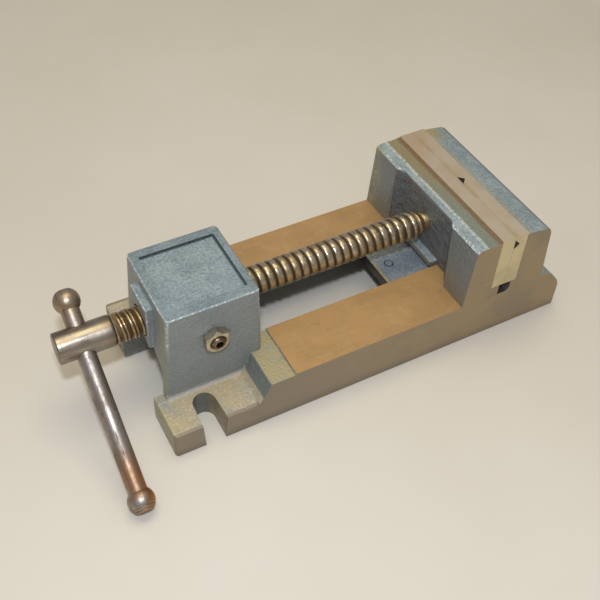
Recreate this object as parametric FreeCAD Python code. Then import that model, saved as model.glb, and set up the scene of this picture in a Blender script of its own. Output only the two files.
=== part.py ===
import FreeCAD, Part
import math
import os

# Drill-press machine vise, jaws closed.
# +X runs along the screw from the handle to the fixed jaw, +Y across the jaws, +Z up.
# The origin is on the underside of the base, under the line where the jaws meet.
# Units are millimetres.

V = FreeCAD.Vector
X_DIR, Y_DIR, Z_DIR = V(1, 0, 0), V(0, 1, 0), V(0, 0, 1)

# ---- driving dimensions ----
JAW_WIDTH = 101.6            # nominal 4 in jaw
HALF = JAW_WIDTH / 2
OPENING = 101.6              # largest jaw opening

BASE_FRONT_X = -199.0
BASE_REAR_X = 44.5
WAY_Z = 29.7                 # machined way tops
WAY_FRONT_X = -131.2         # front end of the machined surface
LEDGE_Z = 28.7               # as-cast surface in front of the ways
LEDGE_FRONT_X = -145.0
RAMP_FOOT_X = -150.2
LUG_Z = 16.1                 # top of the front hold-down lugs
REAR_LUG_Z = 31.0
WINDOW_HALF = 16.1           # half of the gap between the ways
WINDOW_REAR_X = -6.0
CHANNEL_HALF = 43.0          # hollow under the ways
CHANNEL_TOP_Z = 19.6
CHANNEL_FRONT_X = -134.0

SCREW_Z = 51.7               # height of the screw axis
SCREW_R = 8.2                # outside radius of the thread
ROOT_R = 6.4
THREAD_ROOT_HALF = 2.25      # half widths of the ridge along the axis
THREAD_CREST_HALF = 1.75
PITCH = 5.08                 # five threads to the inch
THREAD_START_X = -209.0
THREAD_END_X = -31.0
HEAD_FRONT_X = -238.4
HEAD_R = 8.3
NOSE_TAPER_X = -22.5         # where the tapered run-out of the thread meets the plain nose
NOSE_R = 5.0
NOSE_END_X = -12.1
NOSE_GROOVE_R = 3.5
RETAINING_PIN_X = -16.0      # two pins that run in the groove of the nose
RETAINING_PIN_R = 1.4
RETAINING_PIN_Y = NOSE_GROOVE_R + RETAINING_PIN_R + 0.1

HOUSING_TOP_Z = 73.7
HOUSING_FRONT_X = -190.0     # at the top; the walls have draft
HOUSING_REAR_X = -139.7
HOUSING_HALF = 26.5
HOUSING_FOOT_FRONT_X = -194.0
HOUSING_FOOT_REAR_X = -138.2
HOUSING_FOOT_HALF = 27.3
ARCH_HALF = 22.4             # opening under the screw, between the lugs
ARCH_SHOULDER_Z = 32.8
ARCH_CROWN_Z = 43.0
ARCH_REAR_X = -145.0
PANEL_FRONT_X = -185.3       # sunk panel in the housing top
PANEL_REAR_X = -143.9
PANEL_HALF = 20.8
PANEL_DEPTH = 1.3

SLOT_X = -176.6              # hold-down slots in the front lugs
SLOT_HALF_BOTTOM = 5.55      # for 7/16 in bolts
SLOT_HALF_TOP = 6.2          # at the round inner end
SLOT_MOUTH_TOP = 7.1
SLOT_INNER_Y = 31.0
REAR_SLOT_INNER_X = 31.5

PLATE_TOP_Z = 72.4
PLATE_BOTTOM_Z = 36.8
MOVING_PLATE_T = 8.7
FIXED_PLATE_T = 8.2
GROOVE_Z = 66.2              # horizontal V groove
GROOVE_Y = 1.4               # upright V groove
GROOVE_DEPTH = 3.4
PLATE_SCREW_Y = 33.0
PLATE_SCREW_Z = 52.0
PLATE_SCREW_R = 3.1
SOCKET_FLATS = 4.0           # hexagon sockets of the plate and keeper screws

JAW_FOOT_X = -27.1
JAW_FRONT_TOP_X = -24.6
JAW_REAR_X = -3.2            # the jaw foot under its plate
POCKET_FLOOR_HALF = 23.4     # flat back of the hollow in the jaw's front
POCKET_MOUTH_HALF = 35.0
JAW_FACE_GAP = 0.05          # left between the closed faces
SLIDE_GAP = 0.1              # between the jaw foot and the ways

NUT_X = -165.2               # set screw that holds the spindle nut
NUT_R = 11.0
NUT_FRONT_X = -184.0
LOCK_SEAT_Y = -26.5          # shallow spotface in the housing wall
LOCK_FLATS = 12.7            # 1/2 in across flats
LOCK_THICKNESS = 4.8
SET_SCREW_OUT = 1.7          # set screw beyond its lock nut
SET_SCREW_R = 3.97           # 5/16 in set screw

HANDLE_X = -225.2
HANDLE_R = 4.9
HANDLE_TILT = math.radians(32.0)
UPPER_KNOB = 21.0            # knob centres, measured along the bar from the screw axis
LOWER_KNOB = 83.2
KNOB_R = 6.9

KEEPER_Z = 13.4
GUIDE_FRONT_X = -51.5
GUIDE_REAR_X = -8.0
GUIDE_TOP_Z = 26.0
GUIDE_PIN_X = -42.6
GUIDE_PIN_R = 2.6
GUIDE_HALF = 15.7
KEEPER_SCREW_X = -11.5
KEEPER_SCREW_Y = 13.5
KEEPER_SCREW_R = 2.4
LIP_FRONT_X = -25.4          # rounded rib along the bottom of the hollow in the jaw
LIP_TOP_Z = 33.4
LIP_HALF = 15.9


# ---- helpers ----
def block(x0, x1, y0, y1, z0, z1):
    return Part.makeBox(x1 - x0, y1 - y0, z1 - z0, V(x0, y0, z0))


def rod(radius, start, end):
    axis = end.sub(start)
    return Part.makeCylinder(radius, axis.Length, start, axis)


def cone(r0, r1, start, end):
    axis = end.sub(start)
    return Part.makeCone(r0, r1, axis.Length, start, axis)


def side_profile(points, half):
    """Closed outline of (x, z) points, extruded across the jaws from -half to +half."""
    loop = [V(x, -half, z) for x, z in points]
    return Part.Face(Part.makePolygon(loop + loop[:1])).extrude(V(0, 2 * half, 0))


def rect(x0, x1, half, z):
    corners = [V(x0, -half, z), V(x1, -half, z), V(x1, half, z), V(x0, half, z)]
    return Part.makePolygon(corners + corners[:1])


def round_edges(shape, radius, chosen):
    edges = [e for e in shape.Edges if chosen(e)]
    return shape.makeFillet(radius, edges)


def mid(edge):
    return edge.valueAt((edge.FirstParameter + edge.LastParameter) / 2)


def runs_along(edge, direction):
    ends = edge.Vertexes
    if len(ends) < 2 or not isinstance(edge.Curve, Part.Line):
        return False
    span = ends[1].Point.sub(ends[0].Point)
    return span.cross(direction).Length < 0.12 * span.Length


def hexagon_prism(across_flats, start, axis, length, first_corner=0):
    """Hexagonal prism from start along axis; first_corner turns it, in degrees."""
    corner = across_flats / math.sqrt(3)
    turn = FreeCAD.Rotation(Z_DIR, axis)
    loop = []
    for k in range(6):
        a = math.radians(first_corner + 60 * k)
        loop.append(start + turn.multVec(V(corner * math.cos(a), corner * math.sin(a), 0)))
    return Part.Face(Part.makePolygon(loop + loop[:1])).extrude(axis * length)


def u_slot(z, half, mouth_half, side):
    """Outline of one open slot at height z; side is -1 or +1."""
    mouth = side * (HALF + 4)
    inner = side * (SLOT_INNER_Y + SLOT_HALF_BOTTOM)
    tip = inner - side * half
    a, b = V(SLOT_X - mouth_half, mouth, z), V(SLOT_X - half, inner, z)
    c, d = V(SLOT_X + half, inner, z), V(SLOT_X + mouth_half, mouth, z)
    arc = Part.Arc(b, V(SLOT_X, tip, z), c).toShape()
    return Part.Wire([Part.makeLine(a, b), arc, Part.makeLine(c, d), Part.makeLine(d, a)])


def foot_fillet(side):
    """Concave fillet where the housing wall meets the top of a front lug."""
    section = [(26.2, LUG_Z - 0.1), (26.2, 19.0), (27.2, 19.0), (27.5, 17.6), (28.2, 16.7),
               (29.4, LUG_Z - 0.1)]
    loop = [V(HOUSING_FOOT_FRONT_X + 0.6, side * y, z) for y, z in section]
    return Part.Face(Part.makePolygon(loop + loop[:1])).extrude(V(RAMP_FOOT_X - HOUSING_FOOT_FRONT_X, 0, 0))


# ---- fixed parts ----
def make_base_casting():
    outline = [
        (BASE_FRONT_X, 0), (BASE_REAR_X, 0), (BASE_REAR_X, 16.5), (42.6, 21.0), (38.0, 26.8),
        (33.5, REAR_LUG_Z - 0.6), (31.5, REAR_LUG_Z), (27.8, REAR_LUG_Z), (25.3, 65.2),
        (24.2, 68.0), (21.4, 69.6), (FIXED_PLATE_T, 71.5), (FIXED_PLATE_T, PLATE_BOTTOM_Z),
        (4.8, PLATE_BOTTOM_Z), (4.8, 32.6), (3.9, 30.5), (1.8, WAY_Z), (WAY_FRONT_X, WAY_Z),
        (WAY_FRONT_X, LEDGE_Z), (LEDGE_FRONT_X, LEDGE_Z), (RAMP_FOOT_X, LUG_Z + 2.4),
        (RAMP_FOOT_X - 2.4, LUG_Z), (BASE_FRONT_X, LUG_Z),
    ]
    rails = side_profile(outline, HALF)
    rails = round_edges(rails, 2.0, lambda e: runs_along(e, Z_DIR) and mid(e).x < BASE_FRONT_X + 1)
    rails = round_edges(rails, 1.0, lambda e: runs_along(e, Y_DIR) and mid(e).z > 69)
    rails = round_edges(rails, 1.2, lambda e: abs(mid(e).z - LUG_Z) < 0.05 and mid(e).x < RAMP_FOOT_X)

    foot = rect(HOUSING_FOOT_FRONT_X, HOUSING_FOOT_REAR_X, HOUSING_FOOT_HALF, 8.0)
    top = rect(HOUSING_FRONT_X, HOUSING_REAR_X, HOUSING_HALF, HOUSING_TOP_Z)
    housing = Part.makeLoft([foot, top], True, True)
    housing = round_edges(housing, 2.4, lambda e: 20 < mid(e).z < 60)
    housing = round_edges(housing, 1.1, lambda e: mid(e).z > HOUSING_TOP_Z - 0.1)
    boss = block(HOUSING_FRONT_X - 4.4, HOUSING_FRONT_X + 6, -10.2, 10.2, ARCH_CROWN_Z - 4, 67.8)
    boss = round_edges(boss, 1.0, lambda e: mid(e).x < HOUSING_FRONT_X - 4 and mid(e).z > 45)
    body = rails.fuse(housing).fuse(boss).fuse(foot_fillet(-1)).fuse(foot_fillet(1))
    body = body.removeSplitter()

    arch = [(-ARCH_HALF, -1), (-ARCH_HALF, ARCH_SHOULDER_Z), (-5.5, ARCH_CROWN_Z),
            (5.5, ARCH_CROWN_Z), (ARCH_HALF, ARCH_SHOULDER_Z), (ARCH_HALF, -1)]
    loop = [V(BASE_FRONT_X - 1, y, z) for y, z in arch]
    arch_cut = Part.Face(Part.makePolygon(loop + loop[:1])).extrude(V(ARCH_REAR_X - BASE_FRONT_X + 1, 0, 0))
    body = body.cut(arch_cut)
    body = body.cut(block(-146, WINDOW_REAR_X, -WINDOW_HALF, WINDOW_HALF, -1, 28.0))
    body = body.cut(block(-138.5, WINDOW_REAR_X, -WINDOW_HALF, WINDOW_HALF, 20, WAY_Z + 1))
    body = body.cut(block(CHANNEL_FRONT_X, WINDOW_REAR_X, -CHANNEL_HALF, CHANNEL_HALF, -1, CHANNEL_TOP_Z))
    body = body.cut(block(8.0, 21.0, -CHANNEL_HALF, CHANNEL_HALF, -1, 22.0))

    for side in (-1, 1):
        low = u_slot(-1.0, SLOT_HALF_BOTTOM, SLOT_HALF_BOTTOM, side)
        high = u_slot(LUG_Z + 1.0, SLOT_HALF_TOP, SLOT_MOUTH_TOP, side)
        body = body.cut(Part.makeLoft([low, high], True, True))
    rear_slot = block(REAR_SLOT_INNER_X + SLOT_HALF_BOTTOM, BASE_REAR_X + 1,
                      -SLOT_HALF_BOTTOM, SLOT_HALF_BOTTOM, -1, REAR_LUG_Z + 1)
    rear_end = V(REAR_SLOT_INNER_X + SLOT_HALF_BOTTOM, 0, -1)
    rear_slot = rear_slot.fuse(rod(SLOT_HALF_BOTTOM, rear_end, rear_end + V(0, 0, REAR_LUG_Z + 2)))
    body = body.cut(rear_slot)

    panel_z = HOUSING_TOP_Z - PANEL_DEPTH
    panel = block(PANEL_FRONT_X, PANEL_REAR_X, -PANEL_HALF, PANEL_HALF, panel_z, HOUSING_TOP_Z + 1)
    body = body.cut(round_edges(panel, 0.8, lambda e: runs_along(e, Z_DIR)))
    axis = lambda x: V(x, 0, SCREW_Z)
    body = body.cut(rod(NUT_R, axis(NUT_FRONT_X), axis(HOUSING_REAR_X + 5)))
    body = body.cut(rod(SCREW_R + 0.6, axis(HOUSING_FRONT_X - 6), axis(NUT_FRONT_X + 1)))
    hole = V(NUT_X, -HOUSING_FOOT_HALF - 1, SCREW_Z)
    body = body.cut(rod(SET_SCREW_R + 0.06, hole, hole + V(0, HOUSING_FOOT_HALF + 1 - 8, 0)))
    body = body.cut(rod(8.4, hole, V(NUT_X, LOCK_SEAT_Y, SCREW_Z)))
    for y in (-PLATE_SCREW_Y, PLATE_SCREW_Y):
        body = body.cut(rod(PLATE_SCREW_R, V(FIXED_PLATE_T - 1, y, PLATE_SCREW_Z), V(19.0, y, PLATE_SCREW_Z)))
    return body


def make_jaw_plate(x0, x1):
    return block(x0, x1, -HALF, HALF, PLATE_BOTTOM_Z, PLATE_TOP_Z)


def cut_plate_screw_holes(plate, face_x, back_x):
    inward = 1 if back_x > face_x else -1
    for y in (-PLATE_SCREW_Y, PLATE_SCREW_Y):
        at = lambda x: V(x, y, PLATE_SCREW_Z)
        plate = plate.cut(rod(PLATE_SCREW_R, at(face_x - inward), at(back_x + inward)))
        plate = plate.cut(cone(6.4, PLATE_SCREW_R, at(face_x), at(face_x + 3.3 * inward)))
    return plate


def make_plate_screws(face_x, tip_x):
    """Two flat-head socket screws, set just below the gripping face."""
    inward = 1 if tip_x > face_x else -1
    solids = []
    for y in (-PLATE_SCREW_Y, PLATE_SCREW_Y):
        at = lambda x: V(x, y, PLATE_SCREW_Z)
        screw = cone(6.2, PLATE_SCREW_R, at(face_x + 0.1 * inward), at(face_x + 3.3 * inward))
        screw = screw.fuse(rod(PLATE_SCREW_R, at(face_x + 3.2 * inward), at(tip_x)))
        solids.append(screw.cut(hexagon_prism(SOCKET_FLATS, at(face_x), X_DIR * inward, 2.6)))
    return Part.makeCompound(solids)


def make_fixed_jaw_plate():
    plate = make_jaw_plate(0, FIXED_PLATE_T)
    level = [(-1, GROOVE_Z - GROOVE_DEPTH - 1), (GROOVE_DEPTH, GROOVE_Z), (-1, GROOVE_Z + GROOVE_DEPTH + 1)]
    plate = plate.cut(side_profile(level, HALF + 1))
    reach = GROOVE_DEPTH + 1
    upright = [V(-1, GROOVE_Y - reach, 30), V(GROOVE_DEPTH, GROOVE_Y, 30), V(-1, GROOVE_Y + reach, 30)]
    plate = plate.cut(Part.Face(Part.makePolygon(upright + upright[:1])).extrude(V(0, 0, 50)))
    return cut_plate_screw_holes(plate, 0, FIXED_PLATE_T)


def make_spindle_nut():
    nut = rod(NUT_R, V(NUT_FRONT_X + 0.1, 0, SCREW_Z), V(HOUSING_REAR_X - 0.4, 0, SCREW_Z))
    nut = nut.cut(rod(SCREW_R + 0.08, V(-200, 0, SCREW_Z), V(-130, 0, SCREW_Z)))
    return nut.cut(cone(5.2, 0.4, V(NUT_X, -NUT_R - 0.6, SCREW_Z), V(NUT_X, -NUT_R + 1.7, SCREW_Z)))


def make_nut_set_screw():
    face = V(NUT_X, LOCK_SEAT_Y - LOCK_THICKNESS - SET_SCREW_OUT, SCREW_Z)
    shoulder = V(NUT_X, -NUT_R - 1.2, SCREW_Z)
    edge = face + Y_DIR
    screw = cone(SET_SCREW_R - 0.9, SET_SCREW_R, face, edge).fuse(rod(SET_SCREW_R, edge, shoulder))
    screw = screw.fuse(cone(SET_SCREW_R, 1.6, shoulder, V(NUT_X, -NUT_R + 0.6, SCREW_Z)))
    return screw.cut(hexagon_prism(SOCKET_FLATS, face - Y_DIR, Y_DIR, 5.5))


def make_nut_lock_nut():
    face = V(NUT_X, LOCK_SEAT_Y - LOCK_THICKNESS, SCREW_Z)
    seat = V(NUT_X, LOCK_SEAT_Y, SCREW_Z)
    nut = hexagon_prism(LOCK_FLATS, face, Y_DIR, LOCK_THICKNESS, 90)
    narrow, wide = LOCK_FLATS * 0.48, LOCK_FLATS * 0.7
    slope = Y_DIR * 2.0
    nut = nut.common(cone(narrow, wide, face, face + slope).fuse(rod(wide, face + slope, seat)))
    nut = nut.common(cone(narrow, wide, seat, seat - slope).fuse(rod(wide, seat - slope, face)))
    nut = nut.cut(rod(SET_SCREW_R + 0.04, face - Y_DIR, seat + Y_DIR))
    return nut.cut(cone(SET_SCREW_R + 0.6, SET_SCREW_R, face, face + Y_DIR * 0.6))


# ---- moving jaw group ----
def make_moving_jaw():
    floor_z = WAY_Z + SLIDE_GAP
    outline = [
        (JAW_FOOT_X, floor_z), (JAW_FRONT_TOP_X, 69.4), (-23.4, 70.6), (-16.6, 71.4), (-16.3, 70.8),
        (-MOVING_PLATE_T, 71.5), (-MOVING_PLATE_T, PLATE_BOTTOM_Z), (JAW_REAR_X, PLATE_BOTTOM_Z),
        (JAW_REAR_X, floor_z),
    ]
    jaw = side_profile(outline, HALF)
    wide, narrow = POCKET_MOUTH_HALF, POCKET_FLOOR_HALF
    front = [V(-29.0, -wide, 20), V(-29.0, wide, 20), V(-29.0, wide, 80), V(-29.0, -wide, 80)]
    back = [V(-20.0, -narrow, 20), V(-20.0, narrow, 20), V(-22.9, narrow, 80), V(-22.9, -narrow, 80)]
    wires = [Part.makePolygon(w + w[:1]) for w in (front, back)]
    jaw = jaw.cut(Part.makeLoft(wires, True, True))
    jaw = round_edges(jaw, 1.2, lambda e: 32 < mid(e).z < 69 and abs(abs(mid(e).y) - narrow) < 0.4)
    lip = block(LIP_FRONT_X, JAW_REAR_X - 10, -LIP_HALF, LIP_HALF, floor_z, LIP_TOP_Z)
    lip = round_edges(lip, 1.6, lambda e: mid(e).x < JAW_REAR_X - 11 and mid(e).z > floor_z + 0.1)
    tongue = block(-19.9, GUIDE_REAR_X - 0.4, -GUIDE_HALF, GUIDE_HALF, 27.2, floor_z + 0.1)
    tongue = round_edges(tongue, 1.2, lambda e: mid(e).x < -19.8 and mid(e).z < 28)
    jaw = jaw.fuse(lip).fuse(tongue)
    jaw = jaw.cut(rod(NOSE_R + 0.1, V(-30, 0, SCREW_Z), V(-10.2, 0, SCREW_Z)))
    for y in (-RETAINING_PIN_Y, RETAINING_PIN_Y):
        jaw = jaw.cut(rod(RETAINING_PIN_R, V(RETAINING_PIN_X, y, 20), V(RETAINING_PIN_X, y, 61)))
    for y in (-KEEPER_SCREW_Y, KEEPER_SCREW_Y):
        jaw = jaw.cut(rod(KEEPER_SCREW_R, V(KEEPER_SCREW_X, y, 20), V(KEEPER_SCREW_X, y, 41)))
    for y in (-PLATE_SCREW_Y, PLATE_SCREW_Y):
        end = V(-18.5, y, PLATE_SCREW_Z)
        jaw = jaw.cut(rod(PLATE_SCREW_R, V(1 - MOVING_PLATE_T, y, PLATE_SCREW_Z), end))
    return jaw


def make_guide_block():
    floor_z = CHANNEL_TOP_Z - 0.1
    guide = block(GUIDE_FRONT_X, GUIDE_REAR_X, -GUIDE_HALF, GUIDE_HALF, floor_z, GUIDE_TOP_Z)
    guide = round_edges(guide, 1.5, lambda e: mid(e).x < GUIDE_FRONT_X + 0.1 and mid(e).z > GUIDE_TOP_Z - 0.1)
    guide = guide.fuse(block(-18.4, GUIDE_REAR_X, -GUIDE_HALF, GUIDE_HALF, GUIDE_TOP_Z - 1, 27.2))
    guide = guide.cut(rod(GUIDE_PIN_R, V(GUIDE_PIN_X, 0, 10), V(GUIDE_PIN_X, 0, 40)))
    for y in (-KEEPER_SCREW_Y, KEEPER_SCREW_Y):
        guide = guide.cut(rod(KEEPER_SCREW_R, V(KEEPER_SCREW_X, y, 10), V(KEEPER_SCREW_X, y, 40)))
    for y in (-RETAINING_PIN_Y, RETAINING_PIN_Y):
        guide = guide.cut(rod(RETAINING_PIN_R, V(RETAINING_PIN_X, y, 10), V(RETAINING_PIN_X, y, 40)))
    return guide


def make_keeper_plate():
    plate = block(-27.0, GUIDE_REAR_X, -30.0, 30.0, KEEPER_Z, CHANNEL_TOP_Z - 0.1)
    plate = round_edges(plate, 3.0, lambda e: runs_along(e, Z_DIR))
    for y in (-KEEPER_SCREW_Y, KEEPER_SCREW_Y):
        plate = plate.cut(rod(KEEPER_SCREW_R, V(KEEPER_SCREW_X, y, 5), V(KEEPER_SCREW_X, y, 40)))
    return plate


def make_keeper_screws():
    solids = []
    for y in (-KEEPER_SCREW_Y, KEEPER_SCREW_Y):
        at = lambda z: V(KEEPER_SCREW_X, y, z)
        screw = rod(KEEPER_SCREW_R, at(KEEPER_Z - 1.6), at(40))
        screw = screw.fuse(rod(4.1, at(KEEPER_Z - 6.4), at(KEEPER_Z - 1.5)))
        solids.append(screw.cut(hexagon_prism(SOCKET_FLATS, at(KEEPER_Z - 7), Z_DIR, 3.2)))
    return Part.makeCompound(solids)


def make_keeper_washers():
    solids = []
    for y in (-KEEPER_SCREW_Y, KEEPER_SCREW_Y):
        at = lambda z: V(KEEPER_SCREW_X, y, z)
        washer = rod(4.3, at(KEEPER_Z - 1.5), at(KEEPER_Z))
        solids.append(washer.cut(rod(KEEPER_SCREW_R, at(KEEPER_Z - 3), at(KEEPER_Z + 1))))
    return Part.makeCompound(solids)


def make_guide_pin():
    return rod(GUIDE_PIN_R, V(GUIDE_PIN_X, 0, CHANNEL_TOP_Z + 0.2), V(GUIDE_PIN_X, 0, GUIDE_TOP_Z + 0.25))


def make_retaining_pins():
    pins = []
    for y in (-RETAINING_PIN_Y, RETAINING_PIN_Y):
        pins.append(rod(RETAINING_PIN_R, V(RETAINING_PIN_X, y, 33), V(RETAINING_PIN_X, y, 60.5)))
    return Part.makeCompound(pins)


def make_thrust_button():
    return rod(NOSE_R - 0.5, V(-11.9, 0, SCREW_Z), V(-10.2, 0, SCREW_Z))


# ---- screw and handle ----
def make_lead_screw():
    at = lambda x: V(x, 0, SCREW_Z)
    core = rod(ROOT_R, at(THREAD_START_X - 1), at(THREAD_END_X))
    length = THREAD_END_X - THREAD_START_X - PITCH
    start = THREAD_START_X + PITCH / 2
    helix = Part.makeHelix(PITCH, length, ROOT_R)
    inner, outer = ROOT_R - 0.3, SCREW_R
    tooth = [V(inner, 0, -THREAD_ROOT_HALF), V(outer, 0, -THREAD_CREST_HALF), V(outer, 0, THREAD_CREST_HALF),
             V(inner, 0, THREAD_ROOT_HALF)]
    wire = Part.makePolygon(tooth + tooth[:1])
    ridge = Part.Wire(helix.Edges).makePipeShell([wire], True, True)
    ridge.Placement = FreeCAD.Placement(at(start), FreeCAD.Rotation(Y_DIR, 90))
    head = rod(HEAD_R, at(HEAD_FRONT_X), at(THREAD_START_X))
    head = round_edges(head, 0.9, lambda e: True)
    taper = cone(ROOT_R + 0.6, NOSE_R, at(THREAD_END_X - 0.5), at(NOSE_TAPER_X))
    nose = rod(NOSE_R, at(NOSE_TAPER_X - 0.5), at(NOSE_END_X))
    groove_front, groove_rear = RETAINING_PIN_X - 1.5, RETAINING_PIN_X + 1.5
    groove = rod(NOSE_R + 1, at(groove_front), at(groove_rear))
    groove = groove.cut(rod(NOSE_GROOVE_R, at(groove_front - 1), at(groove_rear + 1)))
    screw = core.fuse(head).fuse(taper).fuse(nose.cut(groove)).fuse(ridge)
    along = V(0, -math.cos(HANDLE_TILT), -math.sin(HANDLE_TILT))
    centre = V(HANDLE_X, 0, SCREW_Z)
    return screw.cut(rod(HANDLE_R + 0.08, centre - along * 12, centre + along * 12))


def bar_point(distance):
    """Point on the handle's axis, measured from the screw axis towards the lower knob."""
    return V(HANDLE_X, -distance * math.cos(HANDLE_TILT), SCREW_Z - distance * math.sin(HANDLE_TILT))


def make_handle_bar():
    return rod(HANDLE_R, bar_point(-UPPER_KNOB - 1.5), bar_point(LOWER_KNOB + 1.5))


def make_handle_knob(centre, outward, end_flat, rings):
    """Ball with a bore for the bar and a faced-off outer end; rings are shallow turned grooves."""
    ball = Part.makeSphere(KNOB_R, bar_point(centre))
    cap = rod(KNOB_R + 1, bar_point(centre + outward * end_flat), bar_point(centre + outward * 9))
    ball = ball.cut(cap)
    neck = rod(KNOB_R + 1, bar_point(centre - outward * 5.6), bar_point(centre - outward * 9))
    ball = ball.cut(neck)
    for at in rings:
        ring = rod(KNOB_R + 1, bar_point(centre + outward * at), bar_point(centre + outward * (at + 0.45)))
        inner = math.sqrt(KNOB_R ** 2 - (at + 0.2) ** 2) - 0.4
        core = rod(inner, bar_point(centre + outward * (at - 1)), bar_point(centre + outward * (at + 1)))
        ball = ball.cut(ring.cut(core))
    return ball.cut(rod(HANDLE_R, bar_point(centre - outward * 9), bar_point(centre + outward * 1.5)))


def main():
    moving_plate = make_jaw_plate(-MOVING_PLATE_T, -JAW_FACE_GAP)
    nodes = {
        "base_casting": make_base_casting(),
        "fixed_jaw_plate": make_fixed_jaw_plate(),
        "fixed_plate_screws": make_plate_screws(0, 18.5),
        "spindle_nut": make_spindle_nut(),
        "nut_set_screw": make_nut_set_screw(),
        "nut_lock_nut": make_nut_lock_nut(),
        "moving_jaw": make_moving_jaw(),
        "moving_jaw_plate": cut_plate_screw_holes(moving_plate, -JAW_FACE_GAP, -MOVING_PLATE_T),
        "moving_plate_screws": make_plate_screws(-JAW_FACE_GAP, -18.0),
        "guide_block": make_guide_block(),
        "guide_pin": make_guide_pin(),
        "keeper_plate": make_keeper_plate(),
        "keeper_screws": make_keeper_screws(),
        "keeper_washers": make_keeper_washers(),
        "screw_retaining_pins": make_retaining_pins(),
        "thrust_button": make_thrust_button(),
        "lead_screw": make_lead_screw(),
        "handle_bar": make_handle_bar(),
        "handle_knob_upper": make_handle_knob(-UPPER_KNOB, -1, 5.9, ()),
        "handle_knob_lower": make_handle_knob(LOWER_KNOB, 1, 5.4, (2.6, 4.0)),
    }
    os.makedirs("parts", exist_ok=True)
    for name, shape in nodes.items():
        if not shape.isValid():
            raise ValueError("invalid solid: " + name)
        shape.exportStep("parts/" + name + ".step")
        print(name, len(shape.Solids), round(shape.Volume / 1000, 2), "cm3")


main()
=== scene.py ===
import math

import bmesh
import bpy
from mathutils import Matrix, Vector, noise


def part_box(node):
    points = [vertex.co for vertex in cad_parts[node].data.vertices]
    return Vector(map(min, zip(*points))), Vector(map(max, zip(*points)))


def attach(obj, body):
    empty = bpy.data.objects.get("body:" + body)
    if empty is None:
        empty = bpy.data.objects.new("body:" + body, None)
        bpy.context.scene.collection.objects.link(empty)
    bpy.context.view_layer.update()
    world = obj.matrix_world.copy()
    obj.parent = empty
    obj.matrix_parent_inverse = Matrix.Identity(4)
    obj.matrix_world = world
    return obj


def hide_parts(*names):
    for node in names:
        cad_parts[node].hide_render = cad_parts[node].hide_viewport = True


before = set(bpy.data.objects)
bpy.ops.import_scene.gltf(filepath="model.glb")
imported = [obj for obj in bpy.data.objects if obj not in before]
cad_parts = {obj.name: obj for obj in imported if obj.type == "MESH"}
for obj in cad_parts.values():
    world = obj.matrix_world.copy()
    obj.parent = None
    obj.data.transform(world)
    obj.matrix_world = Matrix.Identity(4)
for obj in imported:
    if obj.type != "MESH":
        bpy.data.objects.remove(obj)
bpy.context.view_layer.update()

MM = 0.001

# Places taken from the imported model, in metres.
SCREW_LOW, SCREW_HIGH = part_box("lead_screw")
NUT_LOW, NUT_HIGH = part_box("spindle_nut")
PIN_LOW, PIN_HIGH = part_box("guide_pin")
BAR_LOW, BAR_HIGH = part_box("handle_bar")
SCREW_Z = (NUT_LOW.z + NUT_HIGH.z) / 2
PIN_X = (PIN_LOW.x + PIN_HIGH.x) / 2
BAR_X = (BAR_LOW.x + BAR_HIGH.x) / 2

# Sizes of the lead screw's look, in metres.
PITCH = 5.08 * MM
CREST_R = 8.2 * MM
ROOT_R = 6.4 * MM
NECK_R = 5.2 * MM
THREAD_X0 = -209.0 * MM
THREAD_X1 = -23.5 * MM

# Places on the castings that the finishes follow, in millimetres.
HALF_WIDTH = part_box("base_casting")[1].y / MM
GUIDE_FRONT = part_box("guide_block")[0].x / MM
WAY_TOP = 29.7
WAY_FRONT = -131.2
LUG_TOP = 16.1
FRONT_X = (-134, -136)          # band of x that holds in front of the ways

# Regions that a finish treats on their own. A band is (off, on) or (off, on, on, off): it is in
# millimetres along x, y, z and side, which is the distance from the middle plane, and in plain
# numbers along the normal's nx, ny, nz and flank, which is the size of ny.
GROUND_SIDES = {"side": (HALF_WIDTH - 0.9, HALF_WIDTH - 0.3), "flank": (0.72, 0.92)}
LUG_ROUNDING = {"side": (HALF_WIDTH - 2.3, HALF_WIDTH - 1.6), "z": (LUG_TOP + 0.6, LUG_TOP - 0.2),
                "x": FRONT_X}
WAY_TOPS = {"nz": (0.80, 0.92), "z": (WAY_TOP - 0.5, WAY_TOP - 0.25, WAY_TOP + 0.4, WAY_TOP + 0.6)}
LUG_TOPS = {"nz": (0.2, 0.5), "z": (LUG_TOP + 4.4, LUG_TOP + 3.0), "x": FRONT_X}
RAMPS = {"z": (LUG_TOP + 3.0, LUG_TOP + 4.4, LUG_TOP + 11.6, LUG_TOP + 12.4),
         "nz": (0.2, 0.35, 0.8, 0.9), "x": FRONT_X}
LEDGES = {"nz": (0.7, 0.9), "z": (LUG_TOP + 9, LUG_TOP + 11, WAY_TOP + 0.2, WAY_TOP + 1),
          "x": (-129, -132)}
HOUSING_FOOT = {"side": (26.8, 27.6, 28.1, 28.9), "nz": (0.2, 0.4), "z": (LUG_TOP + 6, LUG_TOP + 5),
                "x": FRONT_X}
LOW_WALLS = {"z": (LUG_TOP + 0.2, LUG_TOP - 0.4), "x": FRONT_X}
OUTSIDE_HOUSING = {"side": (28, 30)}
FACING_HANDLE = {"nx": (-0.6, -0.9)}
HOUSING_FRONT = {"nx": (-0.6, -0.85), "y": (-17, -25), "x": (-180, -184)}
HOUSING_EDGES = {"z": (46, 60)}
HOUSING_RIM = {"z": (73.3, 73.5), "x": (-130, -135), "nz": (0.75, 0.9)}
RECESS = {"z": (71.9, 72.2, 73.3, 73.5), "side": (21.6, 21.2), "x": (-186, -185.6, -143.6, -143.2)}
RECESS_FAR_SIDE = {"y": (19.3, 20.0)}
RECESS_BACK = {"x": (-145.4, -144.7)}
BASE_LOW_EDGES = {"z": (50, 40)}
WAYS_AT_JAW = {"x": (-9, -7)}
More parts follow.
